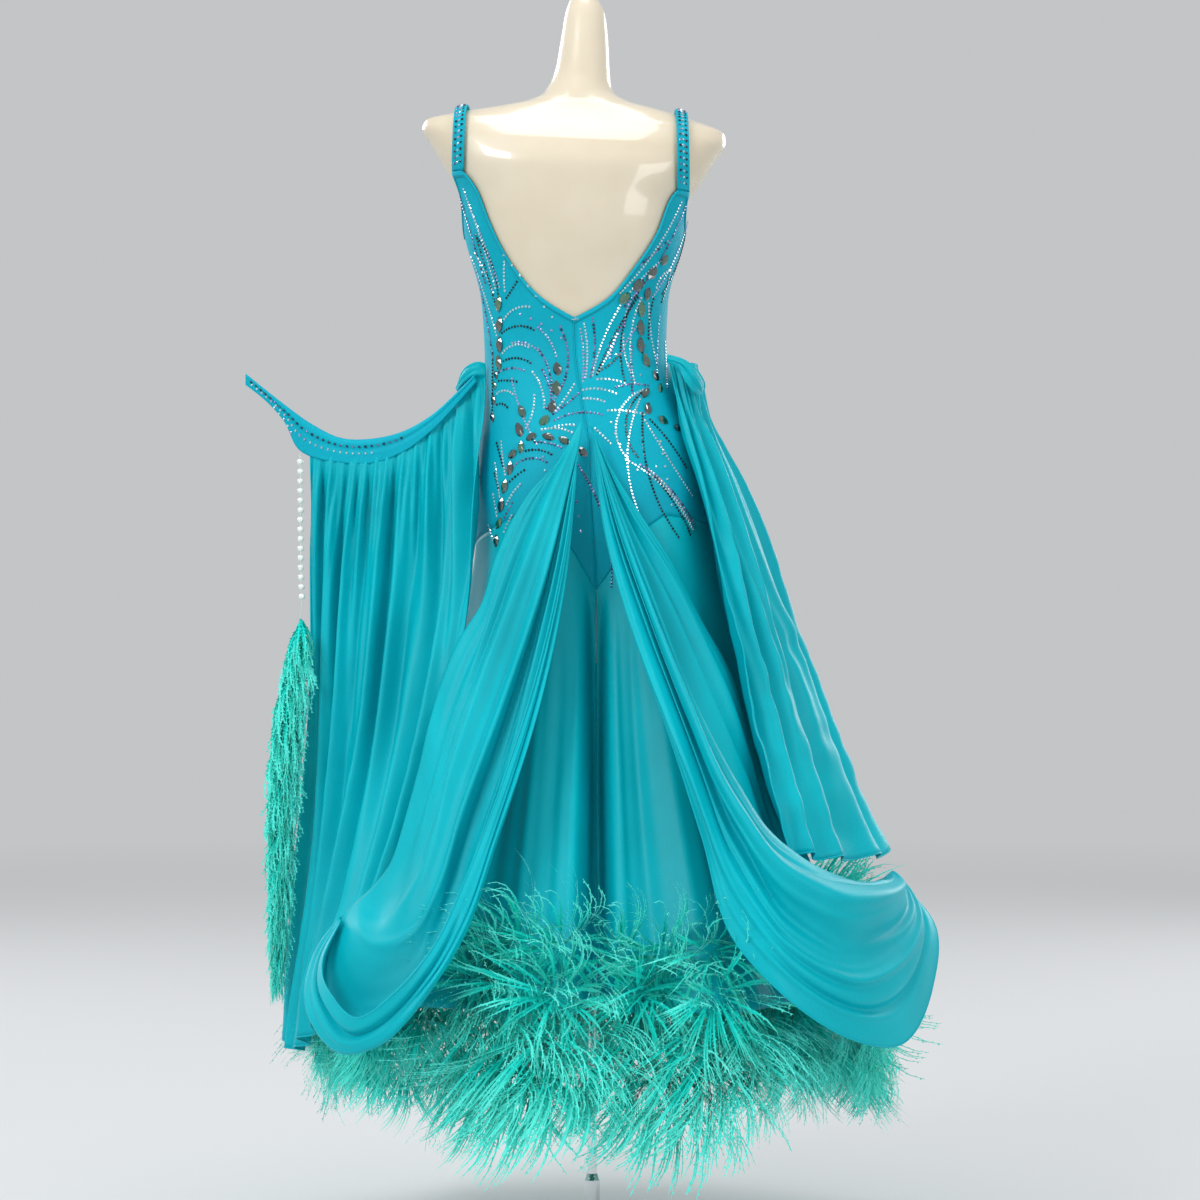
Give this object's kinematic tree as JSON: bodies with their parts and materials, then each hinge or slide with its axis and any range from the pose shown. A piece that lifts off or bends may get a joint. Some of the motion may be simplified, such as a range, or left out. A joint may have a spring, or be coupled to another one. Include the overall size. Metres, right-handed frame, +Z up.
{
  "type": "ballroom gown on dress form",
  "caption": "Backless teal ballroom dance gown with swagged satin, hip floats and feather hem, worn by a limbless dress form on a round-based pole.",
  "frame": {"origin": "centre of the round base's underside, on the pole's axis, with the gown's back facing -Y", "axes": "+Z up along the pole, -Y out of the gown's back, +X towards the wearer's right"},
  "size_m": [0.8635, 0.8688, 1.595],
  "materials": {
    "stretch_crepe": "matte stretch crepe with rhinestones",
    "satin": "fluid satin",
    "ostrich_feather": "ostrich feather",
    "form_gloss": "gloss",
    "chrome": "polished",
    "pearl": "pearl gloss",
    "thread": "fine beading thread",
    "rhinestone": "faceted",
    "green_stone": "faceted"
  },
  "bodies": {
    "root": {"form_torso": "form_gloss", "form_collar": "chrome", "form_pole": "chrome", "form_sleeve": "chrome", "form_base": "chrome", "bodice_back_left": "stretch_crepe", "bodice_back_right": "stretch_crepe", "bodice_front": "stretch_crepe", "strap_left": "stretch_crepe", "strap_right": "stretch_crepe", "back_zip": "stretch_crepe", "arm_band_left": "stretch_crepe", "skirt_back_left": "satin", "skirt_back_right": "satin", "skirt_front": "satin", "drape_left": "satin", "drape_right": "satin", "float_left": "satin", "float_right": "satin", "hip_flap_left": "satin", "hip_flap_right": "satin", "feather_hem": "ostrich_feather", "feather_drop": "ostrich_feather", "pearl_01": "pearl", "pearl_02": "pearl", "pearl_03": "pearl", "pearl_04": "pearl", "pearl_05": "pearl", "pearl_06": "pearl", "pearl_07": "pearl", "pearl_08": "pearl", "pearl_09": "pearl", "pearl_10": "pearl", "pearl_11": "pearl", "pearl_12": "pearl", "pearl_13": "pearl", "pearl_14": "pearl", "pearl_15": "pearl", "pearl_thread": "thread"}
  },
  "joints": []
}
